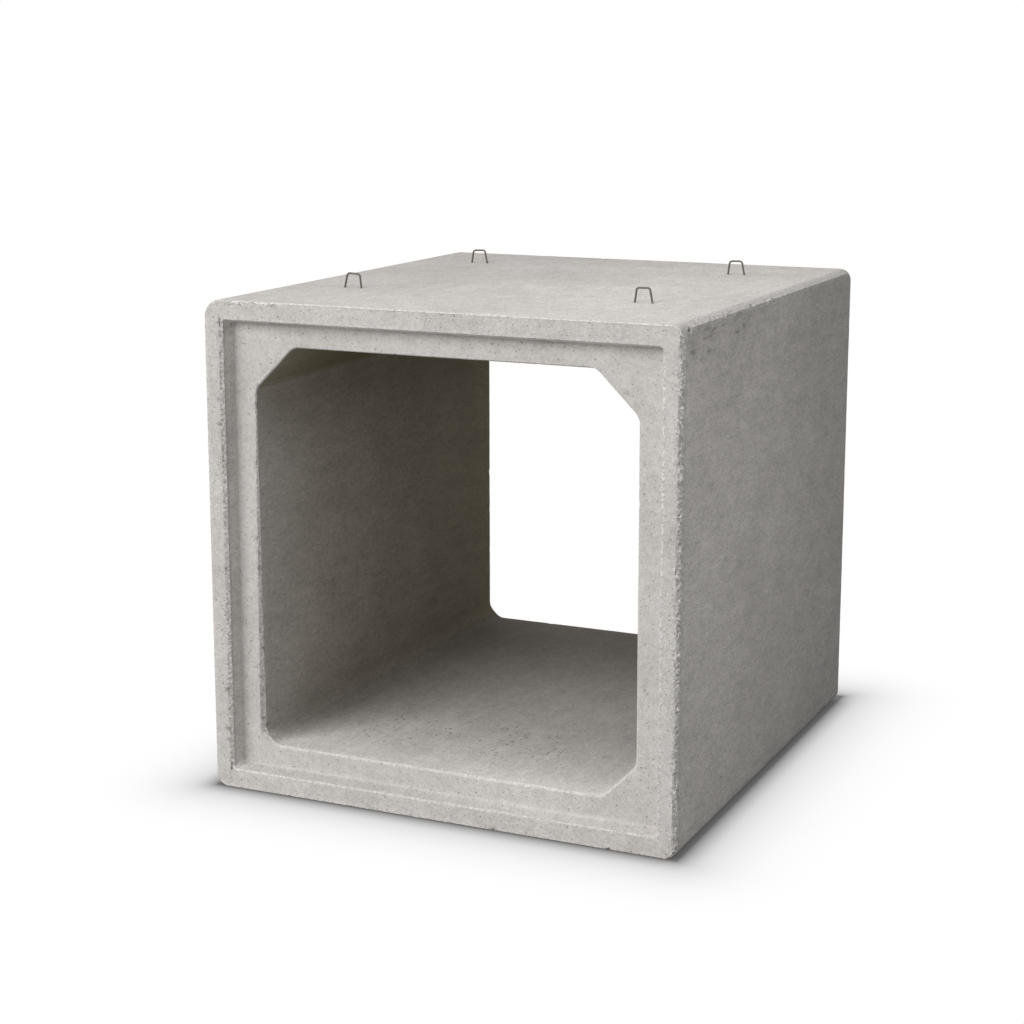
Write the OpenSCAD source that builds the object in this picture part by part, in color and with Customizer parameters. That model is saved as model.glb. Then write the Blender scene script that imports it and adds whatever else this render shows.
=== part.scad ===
// Precast concrete box culvert segment: one casting with a haunched square waterway,
// a recessed socket in its front end, a spigot on its rear end and four lifting loops
// of bent round bar cast into the top slab.
// Millimetres. X runs across the culvert, Y along the waterway from the socket to the
// spigot, Z up. The origin is on the ground at the middle of the casting's plan.

/* [Barrel] */

// width over the outside of the side walls
outer_w = 2400; // [2000:50:3000]
// height from the ground to the top slab's upper face
outer_h = 2400; // [2000:50:3000]
// length of the barrel between its two end faces, without the spigot
barrel_len = 2600; // [1800:50:3200]
// thickness of each side wall
wall_t = 230; // [200:5:300]
// thickness of the top slab
top_t = 220; // [200:5:300]
// thickness of the base slab
base_t = 220; // [200:5:300]
// radius along the upper left-hand outer edge
edge_r_top_left = 85; // [30:5:110]
// radius along the upper right-hand outer edge
edge_r_top_right = 60; // [30:5:110]
// radius along the two lower outer edges
edge_r_base = 60; // [20:5:110]

/* [Haunches] */

// leg of the two upper haunches, measured along the wall and along the slab
haunch_top = 205; // [100:5:350]
// leg of the right-hand lower haunch
haunch_base_right = 165; // [60:1:350]
// leg of the left-hand lower haunch
haunch_base_left = 62; // [60:1:350]
// radius where a haunch runs into a wall or a slab
haunch_round = 60; // [10:5:70]

/* [Socket and spigot] */

// width of the socket's flat rim at the front end
rim_w = 95; // [70:1:110]
// depth of the socket recess behind the rim
socket_depth = 75; // [50:5:120]
// taper of the socket's and the spigot's sides over the socket's depth
joint_draft = 15; // [5:1:25]
// room left for the seal between the spigot of one segment and the socket of the next
joint_gap = 8; // [5:1:15]
// how much shorter the spigot is than the socket is deep
spigot_setback = 5; // [0:1:10]

/* [Lifting loops] */

// diameter of the loops' round bar
bar_d = 10; // [8:1:20]
// distance between a loop's legs where they leave the concrete, centre to centre
loop_foot_w = 90; // [80:1:140]
// distance between a loop's legs at its crown, centre to centre
loop_crown_w = 66; // [54:1:78]
// height of a loop's crown above the top slab
loop_rise = 75; // [60:1:120]
// bend radius at the crown's two corners, to the middle of the bar
loop_bend_r = 15; // [12:1:25]
// depth of a loop's legs in the top slab
loop_embed = 140; // [80:5:160]
// from the left side wall's outer face to the front left loop's middle
loop_inset_front_left = 410; // [280:5:600]
// from the right side wall's outer face to the front right loop's middle
loop_inset_front_right = 460; // [280:5:600]
// from the left side wall's outer face to the rear left loop's middle
loop_inset_rear_left = 450; // [280:5:600]
// from the right side wall's outer face to the rear right loop's middle
loop_inset_rear_right = 470; // [280:5:600]
// from the front end face to the front loops
loop_from_front = 710; // [300:10:900]
// from the barrel's rear end face to the rear loops
loop_from_rear = 530; // [300:10:900]
// clearance around each cast-in leg
cast_gap = 0.3; // [0.1:0.1:0.5]

/* [Hidden] */

$fn = 96;
overcut = 10;

spigot_len = socket_depth - spigot_setback;
total_len = barrel_len + spigot_len;
front_y = -total_len / 2;
rear_y = front_y + barrel_len;
tip_y = front_y + total_len;

// slope of a haunch's face to the slab
haunch_slope = 45;

// inside faces of the waterway
way_x = outer_w / 2 - wall_t;
way_z0 = base_t;
way_z1 = outer_h - top_t;

// a lifting loop's bar: its axis at the crown, the legs' angle from the vertical, the
// turn of each bend, and where a bend is centred and a leg begins
axis_rise = loop_rise - bar_d / 2;
leg_splay = atan((loop_foot_w - loop_crown_w) / 2 / axis_rise);
bend_turn = 90 - leg_splay;
bend_x = loop_crown_w / 2 - loop_bend_r * tan(bend_turn / 2);
bend_z = axis_rise - loop_bend_r;
leg_x = bend_x + loop_bend_r * cos(leg_splay);
leg_z = bend_z + loop_bend_r * sin(leg_splay);
leg_len = (leg_z + loop_embed) / cos(leg_splay);
// the bar is a little thicker where it is bent, and its straights run into the bends
bend_swell = 0.2;
bend_lap = 0.8;

// middle of each lifting loop on the top slab
front_left = [loop_inset_front_left - outer_w / 2, front_y + loop_from_front];
front_right = [outer_w / 2 - loop_inset_front_right, front_y + loop_from_front];
rear_left = [loop_inset_rear_left - outer_w / 2, rear_y - loop_from_rear];
rear_right = [outer_w / 2 - loop_inset_rear_right, rear_y - loop_from_rear];

concrete = [0.72, 0.71, 0.69];
steel = [0.42, 0.39, 0.36];

// lays a drawing made in X and Z into a bar that runs from y0 to y1 along Y
module along_y(y0, y1)
    translate([0, y1, 0]) rotate([90, 0, 0]) linear_extrude(y1 - y0) children();

// cross-section of the barrel's outside, standing on the ground line
module outer_outline() {
    half = outer_w / 2;
    rb = edge_r_base;
    rl = edge_r_top_left;
    rr = edge_r_top_right;
    polygon([[rb - half, 0], [half - rb, 0], [half, rb], [half, outer_h - rr],
        [half - rr, outer_h], [rl - half, outer_h], [-half, outer_h - rl], [-half, rb]]);
    for (side = [-1, 1]) translate([side * (half - rb), rb]) circle(rb);
    translate([half - rr, outer_h - rr]) circle(rr);
    translate([rl - half, outer_h - rl]) circle(rl);
}

// haunch across one corner of the waterway, the corner at the origin and the waterway
// towards +X and +Y: a straight face that runs into the slab and the wall in arcs
module haunch(leg) {
    run = haunch_round * tan(haunch_slope / 2);
    near = run * cos(haunch_slope);
    difference() {
        polygon([[-overcut, -overcut], [leg + run, -overcut], [leg + run, 0],
            [leg - near, near], [near, leg - near], [0, leg + run], [-overcut, leg + run]]);
        translate([leg + run, haunch_round]) circle(haunch_round);
        translate([haunch_round, leg + run]) circle(haunch_round);
    }
}

// cross-section of the waterway: a rectangle less a haunch across each corner
module waterway_outline()
    difference() {
        translate([-way_x, way_z0]) square([2 * way_x, way_z1 - way_z0]);
        translate([-way_x, way_z0]) haunch(haunch_base_left);
        translate([way_x, way_z0]) mirror([1, 0]) haunch(haunch_base_right);
        translate([way_x, way_z1]) rotate(180) haunch(haunch_top);
        translate([-way_x, way_z1]) mirror([0, 1]) haunch(haunch_top);
    }

// block from y0 to y1 whose four sides lie in0 inside the barrel's outside at y0 and
// in1 inside it at y1
module drafted_block(y0, y1, in0, in1) {
    half = outer_w / 2;
    intersection() {
        linear_extrude(outer_h)
            polygon([[in0 - half, y0], [half - in0, y0], [half - in1, y1], [in1 - half, y1]]);
        rotate([90, 0, 90]) translate([0, 0, -half]) linear_extrude(outer_w)
            polygon([[y0, in0], [y1, in1], [y1, outer_h - in1], [y0, outer_h - in0]]);
    }
}

// straight legs of a lifting loop, its middle on the Z axis and the slab's face at z = 0;
// grow thickens them on every side, for the space that they take in the concrete
module loop_legs(grow = 0)
    for (side = [0, 1]) mirror([side, 0, 0])
        translate([leg_x, 0, leg_z]) rotate([0, 180 - leg_splay, 0])
            translate([0, 0, -bend_lap])
                cylinder(h = bend_lap + leg_len + grow, d = bar_d + 2 * grow);

// a whole lifting loop: crossbar, two bends and two legs
module loop_bar() {
    loop_legs();
    translate([-bend_x - bend_lap, 0, axis_rise]) rotate([0, 90, 0])
        cylinder(h = 2 * (bend_x + bend_lap), d = bar_d);
    for (side = [0, 1]) mirror([side, 0, 0])
        translate([bend_x, 0, bend_z]) rotate([90, 0, 0]) rotate([0, 0, leg_splay])
            rotate_extrude(angle = bend_turn)
                translate([loop_bend_r, 0]) circle(d = bar_d + bend_swell);
}

// puts a loop on the top slab
module at_loop(place)
    translate([place[0], place[1], outer_h]) children();

// the concrete: barrel and spigot less the waterway, the socket and the loops' legs
module culvert_casting() color(concrete) {
    spigot_in0 = rim_w + joint_gap;
    spigot_in1 = spigot_in0 + joint_draft * spigot_len / socket_depth;
    difference() {
        union() {
            along_y(front_y, rear_y) outer_outline();
            drafted_block(rear_y - overcut, tip_y,
                spigot_in0 - joint_draft * overcut / socket_depth, spigot_in1);
        }
        along_y(front_y - overcut, tip_y + overcut) waterway_outline();
        drafted_block(front_y - overcut, front_y + socket_depth,
            rim_w - joint_draft * overcut / socket_depth, rim_w + joint_draft);
        for (place = [front_left, front_right, rear_left, rear_right])
            at_loop(place) loop_legs(cast_gap);
    }
}

module lifting_loop_front_left() color(steel) at_loop(front_left) loop_bar();
module lifting_loop_front_right() color(steel) at_loop(front_right) loop_bar();
module lifting_loop_rear_left() color(steel) at_loop(rear_left) loop_bar();
module lifting_loop_rear_right() color(steel) at_loop(rear_right) loop_bar();

culvert_casting();
lifting_loop_front_left();
lifting_loop_front_right();
lifting_loop_rear_left();
lifting_loop_rear_right();
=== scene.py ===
import math
import random

import bmesh
import bpy
from mathutils import Matrix, Vector, noise


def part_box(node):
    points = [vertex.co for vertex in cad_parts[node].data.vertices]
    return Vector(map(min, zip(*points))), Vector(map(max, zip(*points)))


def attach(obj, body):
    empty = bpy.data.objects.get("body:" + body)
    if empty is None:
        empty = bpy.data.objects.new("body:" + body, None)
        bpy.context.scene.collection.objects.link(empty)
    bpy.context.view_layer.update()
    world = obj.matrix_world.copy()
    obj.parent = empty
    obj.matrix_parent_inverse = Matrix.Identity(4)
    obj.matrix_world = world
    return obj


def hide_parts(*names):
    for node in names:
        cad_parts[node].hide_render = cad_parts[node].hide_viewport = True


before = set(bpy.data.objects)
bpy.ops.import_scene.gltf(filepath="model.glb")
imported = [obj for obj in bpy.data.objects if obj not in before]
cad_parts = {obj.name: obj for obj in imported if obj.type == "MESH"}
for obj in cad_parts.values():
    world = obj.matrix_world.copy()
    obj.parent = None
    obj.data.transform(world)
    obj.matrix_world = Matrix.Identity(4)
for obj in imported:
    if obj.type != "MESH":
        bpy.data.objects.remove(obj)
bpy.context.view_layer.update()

# ------------------------------------------------------------------ the culvert casting
# One reinforced concrete casting: a square tube with haunched corners, a socket in its
# front end and a spigot on its rear end. It is vibrated into a steel mould stood on end,
# so the faces are tight with a few blowholes, and the arrises crumble when it is struck.

(left, front, ground), (right, tip, roof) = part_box("culvert_casting")
side_wall = 0.230
top_slab = 0.220
base_slab = 0.220
spigot_length = 0.070
socket_depth = 0.075
rear = tip - spigot_length
socket_floor = front + socket_depth
rim_width = 0.095
rim_width_inside = 0.110
spigot_inset = 0.103
spigot_inset_tip = 0.117
way_left, way_right = left + side_wall, right - side_wall
way_floor, way_ceiling = ground + base_slab, roof - top_slab

# radii of the outer corners and legs of the haunches, each from the lower left one round
# by the lower right and the upper right to the upper left
outer_corners = (0.060, 0.060, 0.060, 0.085)
haunches = (0.062, 0.165, 0.205, 0.205)
haunch_run_out = 0.0249
corner_steps = 10
joint_corners = (0.020, 0.020, 0.020, 0.020)
spigot_corners = (0.012, 0.012, 0.012, 0.012)

concrete = bmesh.new()
wear = concrete.verts.layers.float.new("wear")
painted_shade = concrete.verts.layers.float.new("painted_shade")
stain = concrete.verts.layers.float.new("stain")


def ring(x0, x1, z0, z1, cuts, run_out=0.0):
    """Closed loop of edges across the culvert, its four corners rounded or haunched."""
    corners = [concrete.verts.new((x, 0, z)) for x, z in ((x0, z0), (x1, z0), (x1, z1), (x0, z1))]
    concrete.faces.new(corners)
    for corner, cut_back in zip(corners, cuts):
        chamfer = bmesh.ops.bevel(
            concrete, geom=[corner], offset=cut_back, offset_type="OFFSET", affect="VERTICES",
            segments=1 if run_out else corner_steps, profile=0.5, material=-1)
        if run_out:
            bmesh.ops.bevel(
                concrete, geom=chamfer["verts"], offset=run_out, offset_type="OFFSET",
                affect="VERTICES", segments=3, profile=0.5, material=-1)
    outline = concrete.faces[:][0]
    edges = list(outline.edges)
    bmesh.ops.delete(concrete, geom=[outline], context="FACES_ONLY")
    return edges


def inset_ring(inset, cuts):
    return ring(left + inset, right - inset, ground + inset, roof - inset, cuts)


def place(edges, y):
    for vert in {vert for edge in edges for vert in edge.verts}:
        vert.co.y = y


# eight rings in their order along the surface, from the barrel's rear arris over the
# outside, the rim, the socket and the waterway to the spigot and back; they are bridged
# spread out along the waterway, and then each goes to its place
way = (way_left, way_right, way_floor, way_ceiling, haunches, haunch_run_out)
rear_arris = inset_ring(0.0, outer_corners)
front_arris = inset_ring(0.0, outer_corners)
rim_arris = inset_ring(rim_width, joint_corners)
socket_corner = inset_ring(rim_width_inside, joint_corners)
mouth_arris = ring(*way)
outfall_arris = ring(*way)
tip_arris = inset_ring(spigot_inset_tip, spigot_corners)
spigot_root = inset_ring(spigot_inset, spigot_corners)
rings = [rear_arris, front_arris, rim_arris, socket_corner,
         mouth_arris, outfall_arris, tip_arris, spigot_root]
spread = 0.5
for order, edges in enumerate(rings):
    place(edges, spread * order)
for one, other in zip(rings, rings[1:] + rings[:1]):
    bmesh.ops.bridge_loops(concrete, edges=one + other)
for edges, y in zip(rings, (rear, front, front, socket_floor, socket_floor, tip, tip, rear)):
    place(edges, y)
bmesh.ops.recalc_face_normals(concrete, faces=concrete.faces)
if concrete.calc_volume(signed=True) < 0:
    bmesh.ops.reverse_faces(concrete, faces=concrete.faces)

# the arrises and the two inner corners of the joints, with how far each is cut back and in
# how many steps; those of one step are flat chamfers, and are divided into three strips
arris = concrete.faces.layers.int.new("arris")
roundings = [(front_arris, 0.009, 1), (rim_arris, 0.007, 1), (mouth_arris, 0.015, 1),
             (rear_arris, 0.012, 3), (outfall_arris, 0.010, 3), (tip_arris, 0.010, 3),
             (socket_corner, 0.007, 2), (spigot_root, 0.006, 2)]
on_front, on_rim, on_mouth, in_socket = 1, 2, 3, 7
last_worn = 6
last_finely_cut = on_mouth


def share_kept(order, at):
    """How much of its width a chamfer keeps at a point of the arris: it varies round the end."""
    if order == on_front:
        return 1.0 if at.x > right - 0.05 else 0.6 if at.z > roof - 0.05 else 0.35
    if order == on_rim:
        return 0.4 if at.z > roof - rim_width - 0.01 else 1.0
    if at.z > way_ceiling - haunches[2] - 0.03:
        return 0.4
    return 1.4 if at.x < way_left + 0.01 else 0.8


def nearest_on(line, point):
    """The point of a line of straight pieces that is nearest to a point."""
    spots = []
    for start, along in line:
        share = (point - start).dot(along) / along.length_squared
        spots.append(start + along * min(1.0, max(0.0, share)))
    return min(spots, key=lambda spot: (spot - point).length)


for order, (edges, radius, steps) in enumerate(roundings, start=1):
    line = [(edge.verts[0].co.copy(), edge.verts[1].co - edge.verts[0].co) for edge in edges]
    rounded = bmesh.ops.bevel(
        concrete, geom=edges, offset=radius, offset_type="OFFSET", affect="EDGES",
        segments=steps, profile=0.5, material=-1, clamp_overlap=False)
    band = set(rounded["faces"])
    for face in band:
        face[arris] = order
    if steps == 1:
        across = [edge for edge in concrete.edges
                  if edge.link_faces and all(face in band for face in edge.link_faces)]
        bmesh.ops.subdivide_edges(concrete, edges=across, cuts=2)
        for vert in {vert for face in concrete.faces if face[arris] == order for vert in face.verts}:
            at = nearest_on(line, vert.co)
            vert.co = at + (vert.co - at) * share_kept(order, at)


def cut(axis, places):
    """Cuts the casting's faces with planes across an axis, so that they can be worn."""
    normal, point = [0.0] * 3, [0.0] * 3
    normal[axis] = 1.0
    for point[axis] in places:
        parts = concrete.verts[:] + concrete.edges[:] + concrete.faces[:]
        bmesh.ops.bisect_plane(concrete, geom=parts, dist=0.003, plane_co=point, plane_no=normal)


def between(start, end, step):
    count = round((end - start) / step)
    return [start + (end - start) * i / count for i in range(1, count)]


# along the waterway the cuts lie close together near the ends and wide apart between them
graded = [front + depth for depth in (0.030, 0.050, 0.065, 0.095, 0.140, 0.200)]
graded += between(front + 0.200, rear - 0.130, 0.090)
graded += [rear - depth for depth in (0.130, 0.080, 0.045, 0.020)]
graded += [rear + depth for depth in (0.022, 0.045)]
cut(1, graded)
cell = 0.025
cut(0, between(left, right, cell))
cut(2, between(ground, roof, cell))

# the three arrises of the front end are cut three times finer along their length
middle = Vector(((left + right) / 2, 0.0, (ground + roof) / 2))
along_arris = {}
for face in concrete.faces:
    if on_front <= face[arris] <= last_finely_cut:
        out = face.calc_center_bounds() - middle
        lengthwise = 2 if abs(out.x) > abs(out.z) else 0
        for edge in face.edges:
            run = edge.verts[1].co - edge.verts[0].co
            if run.length > 0.012 and abs(run[lengthwise]) > 0.9 * run.length:
                along_arris[edge] = True
bmesh.ops.subdivide_edges(concrete, edges=list(along_arris), cuts=2, use_grid_fill=True)


def refine(inside, longest):
    """Halves the edges in a part of the surface until none is longer than that."""
    while True:
        coarse = [edge for edge in concrete.edges if edge.calc_length() > longest
                  and inside((edge.verts[0].co + edge.verts[1].co) / 2)]
        if not coarse:
            return
        bmesh.ops.subdivide_edges(concrete, edges=coarse, cuts=1, use_grid_fill=True)


# these parts are cut finer still: the worn right-hand and top arrises of the front end, the
# chips near its upper left corner, the ledge on the left of the rim, the struck long edge at
# the upper right, the rough patch below it, and the pitted front of the waterway's floor
refine(lambda at: at.x > right - 0.036 and at.y < front + 0.036
       and ground + 0.02 < at.z < roof - 0.03, 0.0066)
refine(lambda at: at.z > roof - 0.016 and at.y < front + 0.016, 0.0066)
refine(lambda at: abs(at.x - left - 0.24) < 0.22 and at.z > roof - 0.034
       and at.y < front + 0.034, 0.0066)
refine(lambda at: -0.020 < at.x - left - rim_width < 0.003 and at.y < front + 0.020
       and ground + rim_width - 0.01 < at.z < roof - rim_width + 0.01, 0.0048)
refine(lambda at: at.x > right - 0.066 and at.z > roof - 0.066
       and front + 0.02 < at.y < rear - 0.02, 0.0130)
refine(lambda at: at.x > right - 0.0001 and at.z > roof - 0.34 and at.y < front + 1.30, 0.020)
refine(lambda at: at.z < way_floor + 0.0001 and abs(at.x) < way_right
       and socket_floor + 0.02 < at.y < front + 1.1, 0.026)

far_pits = [Vector((x, y, way_floor)) for x, y in ((-0.380, 0.801), (-0.192, 0.821), (-0.115, 0.900))]
for reach, longest in ((0.060, 0.036), (0.030, 0.014)):
    refine(lambda at: min((at - spot).length for spot in far_pits) < reach, longest)

# the lifting loops' legs come out of the top slab here; the slab is cut finely round each
legs = []
half_stride = 0.045
for loop in ("front_left", "front_right", "rear_left", "rear_right"):
    loop_low, loop_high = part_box("lifting_loop_" + loop)
    loop_middle = (loop_low + loop_high) / 2
    legs += [Vector((loop_middle.x + side * half_stride, loop_middle.y, roof)) for side in (-1, 1)]


def from_leg(point):
    return min((point - leg).length for leg in legs)


on_top_face = roof - 0.0001
for reach, longest in ((0.080, 0.040), (0.060, 0.020), (0.045, 0.010), (0.032, 0.0055)):
    refine(lambda at: at.z > on_top_face and from_leg(at) < reach, longest)

# flat faces: their vertices are moved about in the face, so that blowholes don't stand in
# rows, and then the whole surface is worked inwards from the mould's shape
shake = random.Random(41)
longest_shake = 0.38


def in_order(verts):
    """Vertices sorted by place: a bevel leaves them in an order that differs between runs."""
    return sorted(verts, key=lambda vert: vert.co.to_tuple(5))


concrete.normal_update()
flat = in_order(vert for vert in concrete.verts if all(
    face.normal.dot(vert.normal) > 0.9999 and not face[arris] for face in vert.link_faces))
for vert in flat:
    other = shake.choice(in_order(edge.other_vert(vert) for edge in vert.link_edges))
    vert.co += (other.co - vert.co) * shake.uniform(0.0, longest_shake)


def ripple(point, size, seed):
    """Smooth noise from 0 to 1 whose lumps are about as big as size."""
    return 0.5 + 0.5 * noise.noise(point / size + Vector((seed, 3.0 * seed, 7.0 * seed)))


def outline_at(point):
    """How far a point lies inside the barrel's outline, and the way out across it."""
    corner = (2 if point.x > 0 else 3) if point.z > middle.z else (1 if point.x > 0 else 0)
    radius = outer_corners[corner]
    side = Vector((1 if point.x > 0 else -1, 0, 1 if point.z > middle.z else -1))
    past_x = abs(point.x - middle.x) - (right - middle.x - radius)
    past_z = abs(point.z - middle.z) - (roof - middle.z - radius)
    if past_x > 0 and past_z > 0:
        reach = math.hypot(past_x, past_z)
        return radius - reach, Vector((side.x * past_x / reach, 0, side.z * past_z / reach))
    if past_x > past_z:
        return radius - past_x, Vector((side.x, 0, 0))
    return radius - past_z, Vector((0, 0, side.z))


def eased(value, low, high):
    share = min(1.0, max(0.0, (value - low) / (high - low)))
    return share * share * (3 - 2 * share)


# between its ends the long edge at the upper right isn't round: it is struck to a flat, low
# chamfer, which begins and ends this far round and meets the side in a ragged arris
struck_from, struck_at = math.radians(9), math.radians(54)
struck_radius = outer_corners[2]


def struck_depth(turned):
    """How far the struck edge lies inside the rounded one, less than 0 where it is outside."""
    begin_x, end_z = math.tan(struck_from), 1 / math.tan(struck_at)
    slope = math.atan2(1 - end_z, 1 - begin_x)
    if turned < struck_from:
        reach = 1 / math.cos(turned)
    elif turned > struck_at:
        reach = 1 / math.sin(turned)
    else:
        reach = (begin_x * math.sin(slope) + math.cos(slope)) / math.cos(turned - slope)
    return struck_radius * (1 - reach)


concrete.normal_update()
moves = {}
for vert in concrete.verts:
    orders = {face[arris] for face in vert.link_faces}
    point, inward = vert.co.copy(), -vert.normal
    gap, out = outline_at(point)
    past_front = point.y - front
    depth = 0.0010 * ripple(point, 0.42, 1) + 0.0004 * ripple(point, 0.07, 2)
    move = Vector()
    lumps = ripple(point, 0.015, 4) - 0.5
    crumbs = ripple(point, 0.007, 5) - 0.5
    bitten = noise.noise(point / 0.026 + Vector((5, 1, 8)))
    in_rim = rim_width - gap
    if gap < 0.045 and past_front < 0.045:
        # the front end's outer arris is worn to a rough chamfer, widest down the right side,
        # and chipped near the upper left corner
        rightward = eased(out.x, 0.5, 1.0)
        upward = eased(out.z, 0.3, 0.9)
        chipped = upward * (1.0 - min(1.0, abs(point.x - left - 0.24) / 0.22))
        broken = min(1.0, 1.6 * chipped)
        width = 0.003 + 0.003 * upward + 0.020 * rightward + 0.006 * broken
        width += (0.004 * upward + 0.018 * rightward + 0.014 * broken) * lumps
        width += (0.003 * upward + 0.010 * rightward + 0.012 * broken) * crumbs
        width += 0.045 * max(0.0, bitten - 0.44 + 0.24 * chipped)
        slack = (width - gap - past_front) / 2
        if slack > 0.0:
            move += slack * (Vector((0, 1, 0)) - out)
            depth = 0.0
        vert[wear] = eased(slack, -0.0015, 0.0010)
        # painted shade in the chamfer's deepest part, in specks down the right side, in the chips knocked
        # near the upper left corner, and on the right side face along the chamfer
        vert[painted_shade] = 0.6 * (1 - rightward) * (1 - broken) * eased(slack, 0.0045, 0.0085)
        speck = eased(ripple(point, 0.011, 15), 0.58, 0.68) * eased(slack, 0.0, 0.003)
        vert[painted_shade] = max(vert[painted_shade], 0.50 * rightward * speck)
        if past_front < 0.0015:
            knocked = broken * eased(abs(gap - width - 0.004), 0.010, 0.004)
            vert[painted_shade] = max(vert[painted_shade], knocked * eased(ripple(point, 0.018, 14), 0.54, 0.64))
        if slack <= 0.0 and out.x > 0.9 and gap < 0.001:
            vert[painted_shade] = 0.15 * eased(width + 0.016 - past_front, 0.0, 0.010)
    elif out.x < -0.5 and -0.004 < in_rim < 0.020 and past_front < 0.020:
        # the rim's inner arris on the left has spalled to a narrow ledge with a ragged edge
        ledge = 0.0120 + 0.003 * lumps + 0.002 * crumbs + 0.030 * max(0.0, bitten - 0.40)
        within = max(0.0, in_rim)
        lowered = eased(ledge - within, -0.0015, 0.0025)
        sunk = lowered * (0.0035 + 0.0035 * ripple(point, 0.012, 3))
        move += Vector((0, sunk * (1 - max(0.0, past_front) / 0.020), 0))
        depth = 0.0
        vert[wear] = lowered
        # painted shade along the step at the ledge's ragged edge, and a little over the lowered part
        shaded = 0.90 * eased(0.0056 - abs(within - ledge), 0.0, 0.0026) * (
            0.70 + 0.30 * eased(ripple(point, 0.030, 11), 0.40, 0.56))
        vert[painted_shade] = max(shaded, 0.20 * lowered)
    elif any(on_front <= order <= last_worn for order in orders):
        # the other arrises are rubbed and nicked, those of the mouth most on its left side
        leftward = on_mouth in orders and point.x < way_left + 0.02
        rubbed = 0.40 if on_mouth in orders and not leftward else 0.85
        vert[wear] = rubbed * (0.5 if 0 in orders else 1.0)
        if on_rim in orders and out.x > 0.5:
            vert[wear] = 1.3
        rough = 0.0024 if leftward else 0.0008 if on_mouth in orders else 0.0014
        depth += rough * (ripple(point, 0.013, 3) + 0.6 * crumbs)
        bite = noise.noise(point / 0.030 + Vector((5, 1, 8)))
        depth += 0.014 * max(0.0, bite - 0.46)
        # painted shade along the mouth's left arris, deepest in its nicks
        if leftward:
            vert[painted_shade] = 0.16 + 0.5 * eased(bite, 0.30, 0.50)
    elif out.x > 0.01 and out.z > 0.01 and gap < 0.001 and point.y < rear - 0.001:
        # the struck edge, with bites out of its lower arris; painted shade lies faintly on the chamfer
        # and darker in the bites, and in dark blotches below that
        turned = math.atan2(out.x, out.z)
        struck = eased(past_front, 0.045, 0.15) * eased(rear - point.y, 0.010, 0.090)
        depth += struck * struck_depth(turned)
        near_arris = eased(abs(turned - struck_at), 0.26, 0.05)
        on_chamfer = eased(turned, struck_from - 0.05, struck_from + 0.05)
        on_chamfer *= turned < struck_at + 0.05
        vert[wear] = max(near_arris, 0.75 * struck * on_chamfer)
        drawn = Vector((point.x / 0.018, point.y / 0.034, point.z / 0.018))
        bite = noise.noise(drawn + Vector((9, 4, 2)))
        nearby = 0.3 + 0.7 * eased(past_front, 1.5, 0.9)
        depth += near_arris * (0.0080 * ripple(point, 0.018, 7) + 0.060 * nearby * max(0.0, bite - 0.16))
        nicked = 0.6 * nearby * near_arris * eased(bite, 0.22, 0.40)
        vert[painted_shade] = max(0.14 * struck * on_chamfer, nicked)
        if turned > struck_at + 0.05:
            blotch = 0.16 + 0.26 * eased(noise.noise(point / 0.030 + Vector((7, 7, 2))), 0.10, 0.32)
            vert[painted_shade] = max(vert[painted_shade], blotch * eased(past_front, 1.6, 0.4))
    elif out.x > 0.99 and gap < 0.001 and point.z > roof - 0.34 and past_front < 1.30:
        # the rough patch under the struck edge, where the mix lay loose against the mould
        loose = eased(point.z, roof - 0.33, roof - 0.08) * eased(past_front, 1.30, 0.60)
        drawn = Vector((2, 8 + point.y / 0.070, 3 + point.z / 0.024))
        bite = noise.noise(drawn)
        broad = noise.noise(0.35 * drawn + Vector((4, 4, 4)))
        depth += loose * (0.0015 * ripple(point, 0.03, 8) + 0.024 * max(0.0, bite - 0.28))
        # painted shade: a band just under the struck edge, in the patch's bites and in broad blotches
        # over it
        under = 0.14 * eased(point.z, roof - 0.17, roof - 0.07) * eased(past_front, 1.30, 0.40)
        vert[painted_shade] = under + loose * (0.55 * eased(bite, 0.28, 0.50) + 0.12 * eased(broad, -0.1, 0.3))
    elif point.z > on_top_face and from_leg(point) < 0.040:
        # rust has run from each leg of a loop, and the mix has sunk a little round it
        leg_gap = from_leg(point)
        vert[stain] = max(0.0, 1.0 - leg_gap / (0.016 + 0.020 * ripple(point, 0.012, 9)))
        depth += 0.0035 * max(0.0, 1.0 - leg_gap / (0.012 + 0.008 * ripple(point, 0.010, 8)))
    # the socket's inner corner is tinted brown on its left and top sides; dirt lies on the lower right
    # corner and along the foot by it
    if in_socket in orders and (out.x < -0.5 or out.z > 0.5):
        vert[stain] = 0.5 * ripple(point, 0.09, 12)
    from_corner = (point - Vector((right, front, ground))).length
    soiled = eased(from_corner, 0.13, 0.03) * eased(ripple(point, 0.022, 13), 0.40, 0.62)
    along_foot = eased(point.z, 0.050, 0.010) * eased(abs(point.x - right + 0.24), 0.20, 0.08)
    along_foot *= past_front < 0.01
    vert[stain] = max(vert[stain], soiled, 0.30 * along_foot)
    moves[vert] = move + inward * depth
for vert, move in moves.items():
    vert.co += move
    vert.co.y = min(tip, vert.co.y)

# blowholes: a vertex is opened into a round patch, its middle is pushed in, and painted shade is laid in
# it
concrete.normal_update()
pits = random.Random(7)


def room(vert):
    return min(edge.calc_length() for edge in vert.link_edges)


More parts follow.
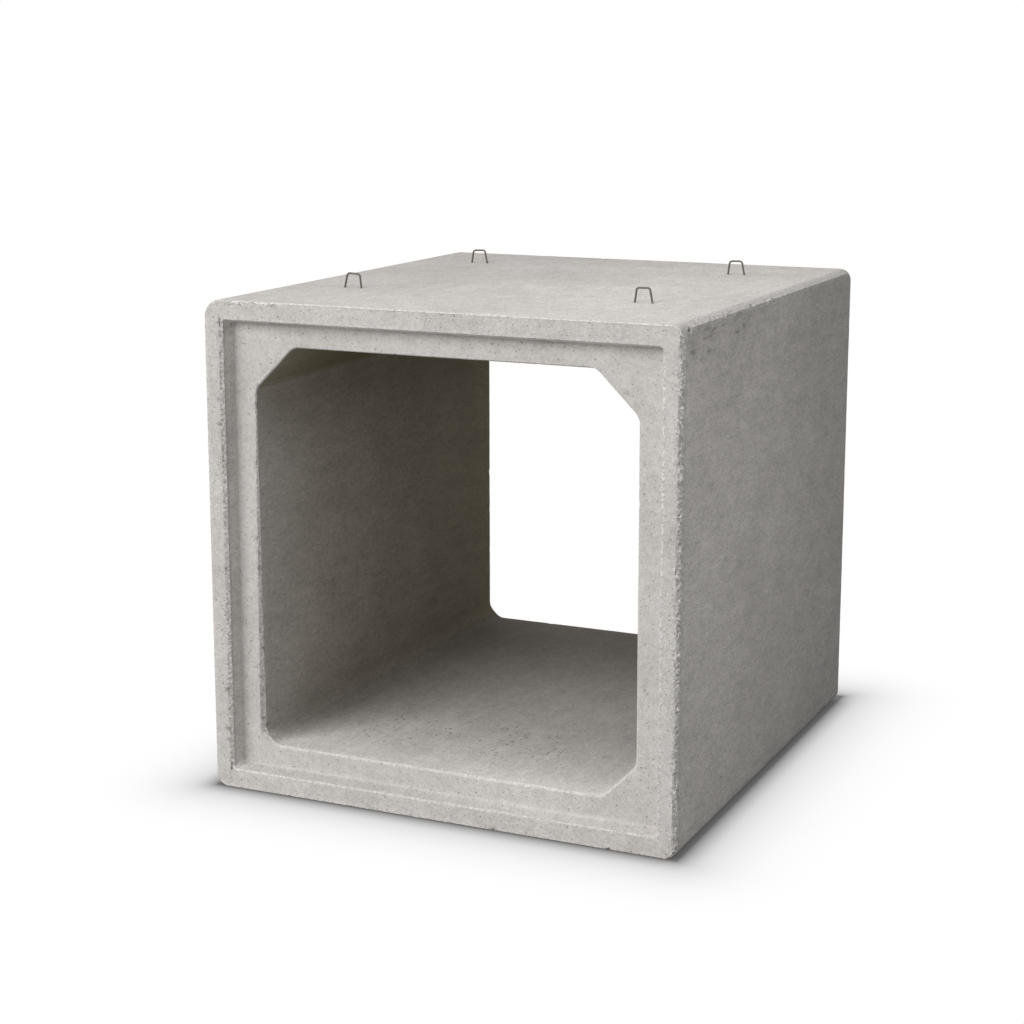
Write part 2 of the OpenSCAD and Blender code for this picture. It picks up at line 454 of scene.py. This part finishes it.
def blowholes(chosen, radius, depth, rim_shade=0.0, spacing=2.3):
    """Opens each vertex that has room; rim_shade is how dark the hole's rim is, from 0 to 1."""
    opened = bmesh.ops.bevel(
        concrete, geom=[vert for vert in chosen if room(vert) > spacing * radius], offset=radius,
        offset_type="OFFSET", affect="VERTICES", segments=2, profile=0.5, material=-1)
    patch = set(opened["faces"])
    for vert in opened["verts"]:
        vert[painted_shade] = rim_shade
        if all(face in patch for face in vert.link_faces):
            vert.co -= vert.normal * depth
            vert[painted_shade] = 1.0


def inside_way(point):
    return (way_left - 0.01 < point.x < way_right + 0.01
            and way_floor - 0.01 < point.z < way_ceiling + 0.01)


def blowhole_share(vert):
    """How many of a flat face's vertices open into a blowhole there."""
    point, normal = vert.co, vert.normal
    patchy = ripple(point, 0.25, 6)
    if inside_way(point) and normal.z > 0.9:
        near = eased(abs(point.y - (front + 0.62)), 0.36, 0.10) * eased(abs(point.x + 0.10), 0.70, 0.35)
        return 0.02 + 0.40 * near * patchy
    if inside_way(point):
        return 0.03 * patchy
    if normal.y < -0.9:
        return 0.24 * patchy
    if normal.z > 0.9:
        return 0.012 * patchy
    if normal.x > 0.9 and point.z > roof - 0.34 and point.y < front + 1.30:
        return 0.09 * patchy
    return 0.07 * patchy


# first the shaded ones on the floor behind the mouth, then three sizes over all flat faces
floor_pits_end = -0.40
on_floor = [vert for vert in flat
            if inside_way(vert.co) and vert.normal.z > 0.9 and vert.co.y < floor_pits_end]
chosen = [vert for vert in on_floor if pits.random() < 0.30 * blowhole_share(vert)]
blowholes(chosen, 0.0052, 0.0060, rim_shade=0.20)
flat = [vert for vert in flat if vert.is_valid]
for radius, depth, share in ((0.0070, 0.0045, 0.22), (0.0052, 0.0038, 0.40), (0.0038, 0.0030, 1.0)):
    whole = [vert for vert in flat if vert.is_valid and not vert[painted_shade]]
    blowholes([vert for vert in whole if pits.random() < share * blowhole_share(vert)], radius, depth)
    flat = [vert for vert in whole if vert.is_valid]

# three larger ones further in on the waterway's floor
for spot_there in far_pits:
    roomy = [vert for vert in flat if vert.is_valid and room(vert) > 0.0080]
    nearest = min(roomy, key=lambda vert: (vert.co - spot_there).length)
    blowholes([nearest], 0.0060, 0.0080, rim_shade=0.9, spacing=1.3)

for face in concrete.faces:
    face.smooth = True

culvert_mesh = bpy.data.meshes.new("culvert_concrete")
concrete.to_mesh(culvert_mesh)
concrete.free()
culvert_mesh.set_sharp_from_angle(angle=math.radians(33))
culvert = bpy.data.objects.new("culvert_concrete", culvert_mesh)
bpy.context.scene.collection.objects.link(culvert)


def finish(name, roughness, specular, metallic=0.0):
    """New material with an empty node tree but for its shader."""
    look = bpy.data.materials.new(name)
    look.use_nodes = True
    shader = look.node_tree.nodes["Principled BSDF"]
    shader.inputs["Roughness"].default_value = roughness
    shader.inputs["Specular IOR Level"].default_value = specular
    shader.inputs["Metallic"].default_value = metallic
    return look, look.node_tree, shader


def add(tree, kind, inputs, **settings):
    """New node, its inputs linked or set and its settings made."""
    made = tree.nodes.new(kind)
    for name, value in settings.items():
        setattr(made, name, value)
    for socket, value in inputs.items():
        if isinstance(value, bpy.types.NodeSocket):
            tree.links.new(value, made.inputs[socket])
        else:
            made.inputs[socket].default_value = value
    return made


def clouds(tree, where, stretch, shift=0.0, detail=3.0, roughness=0.55):
    """Noise with about the given number of lumps a metre along X, Y and Z."""
    placed = add(tree, "ShaderNodeMapping", {
        "Vector": where, "Scale": stretch, "Location": (shift, 2 * shift, 3 * shift)})
    return add(tree, "ShaderNodeTexNoise", {
        "Vector": placed.outputs[0], "Scale": 1.0, "Detail": detail,
        "Roughness": roughness}).outputs["Fac"]


def scaled(tree, value, low, high, start=0.0, end=1.0):
    """Takes low..high to start..end, and goes no further."""
    return add(tree, "ShaderNodeMapRange", {
        "Value": value, "From Min": low, "From Max": high,
        "To Min": start, "To Max": end}).outputs["Result"]


def reckon(tree, operation, *values):
    """One step of arithmetic."""
    sum_node = tree.nodes.new("ShaderNodeMath")
    sum_node.operation = operation
    for socket, value in zip(sum_node.inputs, values):
        if isinstance(value, bpy.types.NodeSocket):
            tree.links.new(value, socket)
        else:
            socket.default_value = value
    return sum_node.outputs[0]


def coat(tree, share, under, over, blend="MIX"):
    """Lays one colour over another, by a share from 0 to 1."""
    mix = tree.nodes.new("ShaderNodeMix")
    mix.data_type = "RGBA"
    mix.blend_type = blend
    for socket, value in zip((mix.inputs[0], mix.inputs[6], mix.inputs[7]), (share, under, over)):
        if isinstance(value, bpy.types.NodeSocket):
            tree.links.new(value, socket)
        elif isinstance(value, tuple):
            socket.default_value = (*value, 1.0)
        else:
            socket.default_value = value
    return mix.outputs[2]


concrete_look, tree, shader = finish("cast_concrete", roughness=0.9, specular=0.25)
spot = add(tree, "ShaderNodeTexCoord", {}).outputs["Object"]
facing = add(tree, "ShaderNodeTexCoord", {}).outputs["Normal"]
x, y, z = add(tree, "ShaderNodeSeparateXYZ", {"Vector": spot}).outputs[:]
nx, ny, nz = add(tree, "ShaderNodeSeparateXYZ", {"Vector": facing}).outputs[:]
worn = add(tree, "ShaderNodeAttribute", {}, attribute_name="wear").outputs["Fac"]
shade_share = add(tree, "ShaderNodeAttribute", {}, attribute_name="painted_shade").outputs["Fac"]
stained = add(tree, "ShaderNodeAttribute", {}, attribute_name="stain").outputs["Fac"]

# cement skin: broad clouds, hand-sized mottling, speckle and sand grain, with streaks of the
# trowel along the slabs' flat faces and faint blotches of the mould on the upright ones
dark_cement, pale_cement = (0.472, 0.450, 0.428), (0.542, 0.519, 0.497)
body = scaled(tree, clouds(tree, spot, (2.2, 2.2, 2.2), detail=4.0), 0.30, 0.70)
body = coat(tree, body, dark_cement, pale_cement)
mottle = scaled(tree, clouds(tree, spot, (15.0, 5.5, 15.0), 3.0, 4.0, 0.65), 0.34, 0.66, 0.93, 1.05)
grain = scaled(tree, clouds(tree, spot, (150.0, 50.0, 150.0), 5.0, 4.0, 0.75), 0.36, 0.64, 0.86, 1.13)
upright = scaled(tree, reckon(tree, "ABSOLUTE", nz), 0.5, 0.8, 1.0, 0.0)
sideways = scaled(tree, reckon(tree, "ABSOLUTE", nx), 0.5, 0.8, 0.35, 1.0)
blotches = scaled(tree, clouds(tree, spot, (17.0, 5.5, 19.0), 7.0, 5.0, 0.7), 0.3, 0.7, -0.075, 0.065)
blotches = reckon(tree, "ADD", reckon(tree, "MULTIPLY", blotches, sideways), 1.0)
streaks = scaled(tree, clouds(tree, spot, (1.1, 34.0, 34.0), 9.0, 4.0), 0.3, 0.7, 0.965, 1.03)
surface = add(tree, "ShaderNodeMix", {0: upright, 2: streaks, 3: blotches}).outputs[0]
speckle = scaled(tree, clouds(tree, spot, (62.0, 22.0, 62.0), 15.0, 3.0, 0.65), 0.36, 0.64, 0.925, 1.06)
tone = reckon(tree, "MULTIPLY", reckon(tree, "MULTIPLY", mottle, grain),
              reckon(tree, "MULTIPLY", speckle, surface))

# the roof is darker towards the left and the rear
on_top = reckon(tree, "GREATER_THAN", nz, 0.7)
roof_ramp = reckon(tree, "ADD", reckon(tree, "MULTIPLY", x, 0.42), reckon(tree, "MULTIPLY", y, -0.14))
roof_ramp = reckon(tree, "ADD", roof_ramp, clouds(tree, spot, (1.3, 1.3, 1.3), 21.0))
roof_ramp = scaled(tree, roof_ramp, 0.20, 0.85, 0.90, 1.09)
roof_tone = add(tree, "ShaderNodeMix", {0: on_top, 2: 1.0, 3: roof_ramp}).outputs[0]
tone = reckon(tree, "MULTIPLY", tone, roof_tone)
colour = coat(tree, 1.0, body, tone, "MULTIPLY")

# the socket end is a little paler towards its foot and darker towards its left edge; in the
# recess, light is painted onto its left side and top, which lie in shade, and a little shade onto
# its floor; the end's face under the rim is painted lighter where the rim shades it, and darker
# by the recess's left side, as painted shade
on_end = reckon(tree, "LESS_THAN", ny, -0.7)
across_end = reckon(tree, "MULTIPLY", scaled(tree, z, 0.10, 2.30, 1.06, 0.960),
                    scaled(tree, x, left, left + 0.30, 0.93, 1.0))
paler = add(tree, "ShaderNodeMix", {0: on_end, 2: 1.0, 3: across_end}).outputs[0]
in_recess = reckon(tree, "MULTIPLY", reckon(tree, "LESS_THAN", y, socket_floor - 0.002),
                   reckon(tree, "GREATER_THAN", y, front + 0.008))
in_recess = reckon(tree, "MULTIPLY", in_recess,
                   reckon(tree, "LESS_THAN", reckon(tree, "ABSOLUTE", x), right - 0.05))
in_recess = reckon(tree, "MULTIPLY", in_recess, reckon(tree, "LESS_THAN", z, roof - 0.05))
recess_light_and_shade = reckon(tree, "ADD", scaled(tree, nx, 0.5, 0.9, 0.0, 0.22),
                     scaled(tree, nz, 0.5, 0.9, 0.0, -0.07))
recess_light_and_shade = reckon(tree, "ADD", recess_light_and_shade, scaled(tree, nz, -0.5, -0.9, 0.0, 0.42))
paler = reckon(tree, "ADD", paler, reckon(tree, "MULTIPLY", in_recess, recess_light_and_shade))
on_web = reckon(tree, "MULTIPLY", reckon(tree, "GREATER_THAN", y, socket_floor - 0.010), on_end)
rim_light_and_shade = reckon(tree, "ADD", scaled(tree, z, roof - 0.200, roof - 0.112, 0.0, 0.34),
                scaled(tree, x, left + 0.200, left + 0.115, 0.0, -0.10))
paler = reckon(tree, "ADD", paler, reckon(tree, "MULTIPLY", on_web, rim_light_and_shade))
colour = coat(tree, 1.0, colour, paler, "MULTIPLY")

# inside the waterway the concrete is darker the further in, partly damp grime and partly painted
# shade; painted shade also darkens the faces overhead, the walls below the upper haunches and
# the walls low down; near the mouth the walls and floor are painted lighter than the concrete, as
# painted light, and the floor is painted darker towards the right, as painted shade
indoors = reckon(tree, "MULTIPLY",
                 reckon(tree, "LESS_THAN", reckon(tree, "ABSOLUTE", x), way_right + 0.005),
                 reckon(tree, "MULTIPLY", reckon(tree, "GREATER_THAN", z, way_floor - 0.005),
                        reckon(tree, "LESS_THAN", z, way_ceiling + 0.005)))
indoors = reckon(tree, "MULTIPLY", indoors, scaled(tree, y, socket_floor + 0.002, socket_floor + 0.020))
indoors = reckon(tree, "MULTIPLY", indoors, scaled(tree, ny, 0.85, 0.55))
depth_in = scaled(tree, y, socket_floor, tip)
floor_part = scaled(tree, z, way_floor + 0.035, way_floor + 0.005)
deep_grime_and_shade = coat(tree, scaled(tree, x, -0.3, 0.5), (0.63, 0.575, 0.44), (0.63, 0.61, 0.575))
wall_grime_light_and_shade = coat(tree, reckon(tree, "POWER", depth_in, 0.55), (1.23, 1.225, 1.215), deep_grime_and_shade)
# painted shade on the faces overhead, on the walls below the upper haunches and on the walls low down
overhead = scaled(tree, nz, -0.25, -0.70)
overhead = reckon(tree, "MULTIPLY", overhead, scaled(tree, depth_in, 0.0, 0.25, 0.70, 0.87))
wall_grime_light_and_shade = coat(tree, overhead, wall_grime_light_and_shade, (0.26, 0.226, 0.085))
haunch_foot = way_ceiling - haunches[2]
under_haunch_shade = scaled(tree, z, haunch_foot - 0.42, haunch_foot, 0.0, 1.0)
under_haunch_shade = reckon(tree, "MULTIPLY", under_haunch_shade, scaled(tree, depth_in, 0.0, 0.6, 0.37, 0.30))
under_haunch_shade = reckon(tree, "MULTIPLY", under_haunch_shade, reckon(tree, "LESS_THAN", z, haunch_foot + 0.012))
wall_foot_shade = scaled(tree, z, way_floor + 0.80, way_floor + 0.15, 0.0, 1.0)
wall_foot_shade = reckon(tree, "MULTIPLY", wall_foot_shade, scaled(tree, depth_in, 0.0, 0.6, 0.17, 0.06))
wall_grime_light_and_shade = coat(tree, under_haunch_shade, wall_grime_light_and_shade, (0.16, 0.095, 0.0))
wall_grime_light_and_shade = coat(tree, wall_foot_shade, wall_grime_light_and_shade, (0.0, 0.0, 0.0))
# the floor is painted lighter near the mouth, as painted light, then darker inwards, partly grime and
# partly painted shade, and darker towards the right, as painted shade
lit_mouth_end = socket_floor + 0.75
mouth_floor = scaled(tree, y, socket_floor, lit_mouth_end)
floor_grime_light_and_shade = coat(tree, mouth_floor, (1.25, 1.245, 1.24), (0.90, 0.89, 0.88))
floor_grime_light_and_shade = coat(tree, scaled(tree, y, lit_mouth_end, tip), floor_grime_light_and_shade, (0.61, 0.585, 0.54))
right_floor_shade = reckon(tree, "MULTIPLY", scaled(tree, x, -0.25, 0.70, 0.0, 0.33), mouth_floor)
floor_grime_light_and_shade = coat(tree, right_floor_shade, floor_grime_light_and_shade, (0.0, 0.0, 0.0))
waterway_grime_and_shade = coat(tree, floor_part, wall_grime_light_and_shade, floor_grime_light_and_shade)
colour = coat(tree, indoors, colour, coat(tree, 1.0, colour, waterway_grime_and_shade, "MULTIPLY"))


def pinholes(where, cells_a_metre, share, core, edge):
    """Round marks in some of a random pattern's cells; core and edge are in cell sizes."""
    cells = add(tree, "ShaderNodeTexVoronoi", {
        "Vector": where, "Scale": cells_a_metre, "Randomness": 1.0})
    chance = add(tree, "ShaderNodeSeparateXYZ", {"Vector": cells.outputs["Color"]}).outputs[0]
    return reckon(tree, "MULTIPLY", scaled(tree, cells.outputs["Distance"], core, edge, 1.0, 0.0),
                  reckon(tree, "GREATER_THAN", chance, 1.0 - share))


# pinholes of two sizes, left by bubbles against the mould, painted dark with the shade in them
pinhole = reckon(tree, "MAXIMUM", pinholes(spot, 85.0, 0.16, 0.18, 0.30),
                 pinholes(spot, 34.0, 0.13, 0.11, 0.18))
colour = coat(tree, reckon(tree, "MULTIPLY", pinhole, 0.68), colour, (0.15, 0.14, 0.125))

# near the mouth the floor is torn in patches, where the core dragged its skin off; the tears are painted
# dark with the shade in them
torn = reckon(tree, "MULTIPLY", scaled(tree, y, front + 0.25, front + 0.48),
              scaled(tree, y, front + 1.02, front + 0.72))
from_middle = reckon(tree, "ABSOLUTE", reckon(tree, "ADD", x, 0.12))
torn = reckon(tree, "MULTIPLY", torn, scaled(tree, from_middle, 0.80, 0.42))
patches = scaled(tree, clouds(tree, spot, (4.5, 3.0, 4.5), 31.0), 0.42, 0.54, 0.20, 1.0)
torn = reckon(tree, "MULTIPLY", torn, patches)
torn = reckon(tree, "MULTIPLY", torn, reckon(tree, "MULTIPLY", indoors, floor_part))
dragged = add(tree, "ShaderNodeMapping", {"Vector": spot, "Scale": (1.0, 0.55, 1.0)}).outputs[0]
tears = reckon(tree, "MULTIPLY", pinholes(dragged, 42.0, 0.50, 0.18, 0.29), torn)
colour = coat(tree, reckon(tree, "MULTIPLY", tears, 0.80), colour, (0.11, 0.10, 0.09))
pinhole = reckon(tree, "MAXIMUM", pinhole, tears)

# worn arrises show sand and stones of lighter and darker kinds; painted shade lies in the blowholes,
# chips and nicks, along the ledge's step and over the struck edge's chamfer and the side below it;
# rust marks the loops' legs
dark_stone, pale_stone = (0.42, 0.400, 0.380), (0.760, 0.740, 0.715)
shade, rust_stain = (0.10, 0.092, 0.080), (0.30, 0.24, 0.18)
lumps = scaled(tree, clouds(tree, spot, (80.0, 80.0, 80.0), 11.0, 3.0, 0.6), 0.38, 0.62)
stones = coat(tree, lumps, dark_stone, pale_stone)
colour = coat(tree, reckon(tree, "MULTIPLY", worn, 0.75), colour, stones)
colour = coat(tree, reckon(tree, "MULTIPLY", shade_share, 0.80), colour, shade)
colour = coat(tree, reckon(tree, "MULTIPLY", stained, 0.55), colour, rust_stain)
tree.links.new(colour, shader.inputs["Base Color"])

# sand grain, pinholes and the lumps of a crumbled arris
fine = clouds(tree, spot, (330.0, 330.0, 330.0), 13.0, 3.0, 0.6)
coarse = clouds(tree, spot, (95.0, 95.0, 95.0), 17.0, 3.0, 0.6)
height = reckon(tree, "ADD", reckon(tree, "MULTIPLY", fine, 0.5), reckon(tree, "MULTIPLY", coarse, 0.9))
crumbled = reckon(tree, "MULTIPLY", worn, lumps)
height = reckon(tree, "ADD", height, reckon(tree, "MULTIPLY", crumbled, 2.2))
height = reckon(tree, "SUBTRACT", height, pinhole)
relief = add(tree, "ShaderNodeBump", {"Height": height, "Strength": 0.8, "Distance": 0.0015})
tree.links.new(relief.outputs[0], shader.inputs["Normal"])
culvert_mesh.materials.append(concrete_look)

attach(culvert, "root")
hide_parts("culvert_casting")

# ------------------------------------------------------------------ lifting loops
# Four eyes of 10 mm plain mild-steel bar, each bent cold to a narrow crown and set in the
# top slab with its legs splayed for the grip. They are bare, so they brown with rust.

bar_radius = 0.005
crown_width = 0.066
crown_bend = 0.015
crown_height = 0.0685
cast_in = 0.140
leg_splay = math.radians(9.728)
leg_steps, bend_steps, crown_steps = 26, 9, 8
pitting = 0.00035
bend_turn = math.pi / 2 - leg_splay
bend_centre_x = crown_width / 2 - crown_bend * math.tan(bend_turn / 2)
bend_centre_z = crown_height - crown_bend
leg_top_z = bend_centre_z + crown_bend * math.sin(leg_splay)
leg_length = (leg_top_z + cast_in) / math.cos(leg_splay)

steel_look, tree, shader = finish("rusted_bar", roughness=0.62, specular=0.4, metallic=0.35)
spot = add(tree, "ShaderNodeTexCoord", {}).outputs["Object"]
rust = scaled(tree, clouds(tree, spot, (60.0, 60.0, 60.0), 1.0, 4.0), 0.42, 0.62)
dark_scale, pale_scale, brown_rust = (0.082, 0.077, 0.068), (0.150, 0.142, 0.126), (0.150, 0.105, 0.070)
mill_scale = scaled(tree, clouds(tree, spot, (300.0, 300.0, 300.0), 2.0), 0.3, 0.7)
mill_scale = coat(tree, mill_scale, dark_scale, pale_scale)
rusted = coat(tree, reckon(tree, "MULTIPLY", rust, 0.45), mill_scale, brown_rust)
tree.links.new(rusted, shader.inputs["Base Color"])
skin = clouds(tree, spot, (420.0, 420.0, 420.0), 4.0, 3.0, 0.65)
relief = add(tree, "ShaderNodeBump", {"Height": skin, "Strength": 0.7, "Distance": 0.0006})
tree.links.new(relief.outputs[0], shader.inputs["Normal"])


def draw(bar, end, along, steps):
    """Draws the bar on from its end face in equal steps."""
    for _ in range(steps):
        grown = bmesh.ops.extrude_face_region(bar, geom=end)["geom"]
        bmesh.ops.delete(bar, geom=end, context="FACES_ONLY")
        end = [part for part in grown if isinstance(part, bmesh.types.BMFace)]
        ring_verts = [part for part in grown if isinstance(part, bmesh.types.BMVert)]
        bmesh.ops.translate(bar, verts=ring_verts, vec=along / steps)
    return end


# each bar is drawn up from the foot of its left leg, bent over the crown and drawn down to
# the other foot, and then leans to the left and is twisted by this many degrees
crooked = {"front_left": (3.2, 2.5), "front_right": (-1.6, -3.0),
           "rear_left": (-1.5, 4.0), "rear_right": (-2.0, -2.0)}
for loop, (lean, twist) in crooked.items():
    loop_low, loop_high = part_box("lifting_loop_" + loop)
    loop_middle = (loop_low + loop_high) / 2
    bar = bmesh.new()
    bmesh.ops.create_circle(bar, segments=16, radius=bar_radius, cap_ends=True)
    leg_top = Vector((-bend_centre_x - crown_bend * math.cos(leg_splay), 0, leg_top_z))
    up = leg_length * Vector((math.sin(leg_splay), 0, math.cos(leg_splay)))
    down = leg_length * Vector((math.sin(leg_splay), 0, -math.cos(leg_splay)))
    bmesh.ops.rotate(bar, verts=bar.verts, cent=(0, 0, 0), matrix=Matrix.Rotation(leg_splay, 3, "Y"))
    bmesh.ops.translate(bar, verts=bar.verts, vec=leg_top - up)
    end = draw(bar, bar.faces[:], up, leg_steps)
    over = Vector((2 * bend_centre_x, 0, 0))
    for centre_x, after, steps in ((-bend_centre_x, over, crown_steps), (bend_centre_x, down, leg_steps)):
        spun = bmesh.ops.spin(
            bar, geom=end, cent=(centre_x, 0, bend_centre_z), axis=(0, 1, 0),
            dvec=(0, 0, 0), angle=bend_turn, steps=bend_steps, use_merge=False)
        bmesh.ops.delete(bar, geom=end, context="FACES_ONLY")
        end = [part for part in spun["geom_last"] if isinstance(part, bmesh.types.BMFace)]
        end = draw(bar, end, after, steps)
    bmesh.ops.holes_fill(bar, edges=bar.edges[:], sides=32)
    bmesh.ops.recalc_face_normals(bar, faces=bar.faces)
    if bar.calc_volume(signed=True) < 0:
        bmesh.ops.reverse_faces(bar, faces=bar.faces)
    bar.normal_update()
    for vert in bar.verts:
        vert.co -= vert.normal * pitting * ripple(vert.co, 0.006, 2)
    tilt = Matrix.Rotation(math.radians(twist), 3, "Z") @ Matrix.Rotation(math.radians(lean), 3, "Y")
    bmesh.ops.rotate(bar, verts=bar.verts, cent=(0, 0, 0), matrix=tilt)
    bmesh.ops.translate(bar, verts=bar.verts, vec=(loop_middle.x, loop_middle.y, roof))
    for face in bar.faces:
        face.smooth = len(face.verts) == 4
    bar_mesh = bpy.data.meshes.new("loop_bar_" + loop)
    bar.to_mesh(bar_mesh)
    bar.free()
    bar_mesh.materials.append(steel_look)
    piece = bpy.data.objects.new("loop_bar_" + loop, bar_mesh)
    bpy.context.scene.collection.objects.link(piece)
    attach(piece, "root")
    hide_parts("lifting_loop_" + loop)

# ------------------------------------------------------------------ camera
# Stands to the right of the socket end and a little above the top slab, level with the
# horizon, its picture shifted down the least that the framing needs.
lens = 73.48
viewpoint = Vector((4.2038, -9.6294, 3.5419))
turn, dip, roll = 0.4304, 0.1936, -0.0004
camera_data = bpy.data.cameras.new("camera")
camera_data.lens = lens
camera_data.sensor_width = 36.0
camera_data.shift_y = -0.05
camera_data.clip_end = 200.0
camera = bpy.data.objects.new("camera", camera_data)
aim = Matrix.Rotation(turn, 4, "Z") @ Matrix.Rotation(math.pi / 2 - dip, 4, "X")
camera.matrix_world = Matrix.Translation(viewpoint) @ aim @ Matrix.Rotation(roll, 4, "Z")
bpy.context.scene.collection.objects.link(camera)
bpy.context.scene.camera = camera

# ------------------------------------------------------------------ floor and light
# A plain white studio floor with a soft shadow painted round the culvert's foot. The light
# is even all round, with a large soft lamp over the front left, one overhead and a weak one
# by the right side.
half_floor = 60.0
floor_mesh = bmesh.new()
bmesh.ops.create_grid(floor_mesh, x_segments=1, y_segments=1, size=half_floor)
floor_data = bpy.data.meshes.new("studio_floor")
floor_mesh.to_mesh(floor_data)
floor_mesh.free()
floor = bpy.data.objects.new("studio_floor", floor_data)
bpy.context.scene.collection.objects.link(floor)


def seen_plainly(tree):
    """1 for the rays that show the background: straight, glossy and transmitted ones."""
    rays = add(tree, "ShaderNodeLightPath", {}).outputs
    through = reckon(tree, "MAXIMUM", rays["Is Glossy Ray"], rays["Is Transmission Ray"])
    return reckon(tree, "MAXIMUM", rays["Is Camera Ray"], through)


floor_look = bpy.data.materials.new("studio_floor")
floor_look.use_nodes = True
tree = floor_look.node_tree
tree.nodes.remove(tree.nodes["Principled BSDF"])
spot = add(tree, "ShaderNodeTexCoord", {}).outputs["Object"]
x, y, z = add(tree, "ShaderNodeSeparateXYZ", {"Vector": spot}).outputs[:]
past_side = reckon(tree, "MAXIMUM", reckon(tree, "SUBTRACT", reckon(tree, "ABSOLUTE", x), right), 0.0)
past_end = reckon(tree, "MAXIMUM", reckon(tree, "SUBTRACT", reckon(tree, "ABSOLUTE", y), tip), 0.0)
gap = reckon(tree, "SQRT", reckon(tree, "ADD", reckon(tree, "MULTIPLY", past_side, past_side),
                                  reckon(tree, "MULTIPLY", past_end, past_end)))
white = add(tree, "ShaderNodeEmission", {"Color": (1, 1, 1, 1), "Strength": 1.0}).outputs[0]
lit = add(tree, "ShaderNodeBsdfDiffuse", {"Color": (0.85, 0.855, 0.865, 1)}).outputs[0]

# the shadow is painted into the floor's glow: a broad soft one and a narrow dark one along the
# foot, both fading with the distance from the culvert and darker where the floor is hemmed in,
# with a small share of the lamps' own shadow
left_bright = 1.0
for reach, darkness in ((0.15, 0.58), (0.02, 0.22)):
    dimming = reckon(tree, "EXPONENT", reckon(tree, "DIVIDE", gap, -reach))
    left_bright = reckon(tree, "SUBTRACT", left_bright, reckon(tree, "MULTIPLY", dimming, darkness))
hemmed = add(tree, "ShaderNodeAmbientOcclusion", {"Distance": 0.12}, samples=8).outputs["AO"]
left_bright = reckon(tree, "MULTIPLY", left_bright, scaled(tree, hemmed, 0.0, 1.0, 0.25, 1.0))
painted_shadow = add(tree, "ShaderNodeEmission", {"Color": (1, 1, 1, 1), "Strength": left_bright}).outputs[0]
dull = add(tree, "ShaderNodeBsdfDiffuse", {"Color": (0.38, 0.38, 0.38, 1)}).outputs[0]
fade = add(tree, "ShaderNodeMapRange", {"Value": gap, "From Min": 0.25, "From Max": 0.75},
           interpolation_type="SMOOTHSTEP").outputs["Result"]
shadow = add(tree, "ShaderNodeMixShader", {0: 0.96, 1: lit, 2: painted_shadow}).outputs[0]
near = add(tree, "ShaderNodeMixShader", {0: fade, 1: shadow, 2: white}).outputs[0]
both = add(tree, "ShaderNodeMixShader", {0: seen_plainly(tree), 1: dull, 2: near}).outputs[0]
tree.links.new(both, tree.nodes["Material Output"].inputs["Surface"])
floor_data.materials.append(floor_look)

world = bpy.data.worlds.new("studio")
bpy.context.scene.world = world
world.use_nodes = True
tree = world.node_tree
sky = tree.nodes["Background"]
sky_light = 0.26
strength = scaled(tree, seen_plainly(tree), 0.0, 1.0, sky_light, 1.0)
tree.links.new(strength, sky.inputs["Strength"])
sky.inputs["Color"].default_value = (1.0, 1.0, 1.0, 1.0)


def hang_lamp(name, width, power, place, aimed_at):
    """Square soft lamp at a place, turned towards a point."""
    lamp_data = bpy.data.lights.new(name, "AREA")
    lamp_data.size = width
    lamp_data.energy = power
    lamp = bpy.data.objects.new(name, lamp_data)
    turned = (place - aimed_at).to_track_quat("Z", "Y").to_matrix().to_4x4()
    lamp.matrix_world = Matrix.Translation(place) @ turned
    bpy.context.scene.collection.objects.link(lamp)
    return lamp


hang_lamp("key", 10.0, 2430.0, Vector((-5.3, -11.6, 9.9)), Vector((0, 0, 1.2)))
hang_lamp("overhead", 5.0, 175.0, Vector((0, 0, 9.0)), Vector((0, 0, 0)))
fill = hang_lamp("fill", 2.0, 21.0, Vector((3.7, -1.5, 2.2)), Vector((1.2, -0.4, 1.3)))
fill.visible_camera = False

bpy.context.scene.view_settings.view_transform = "Standard"
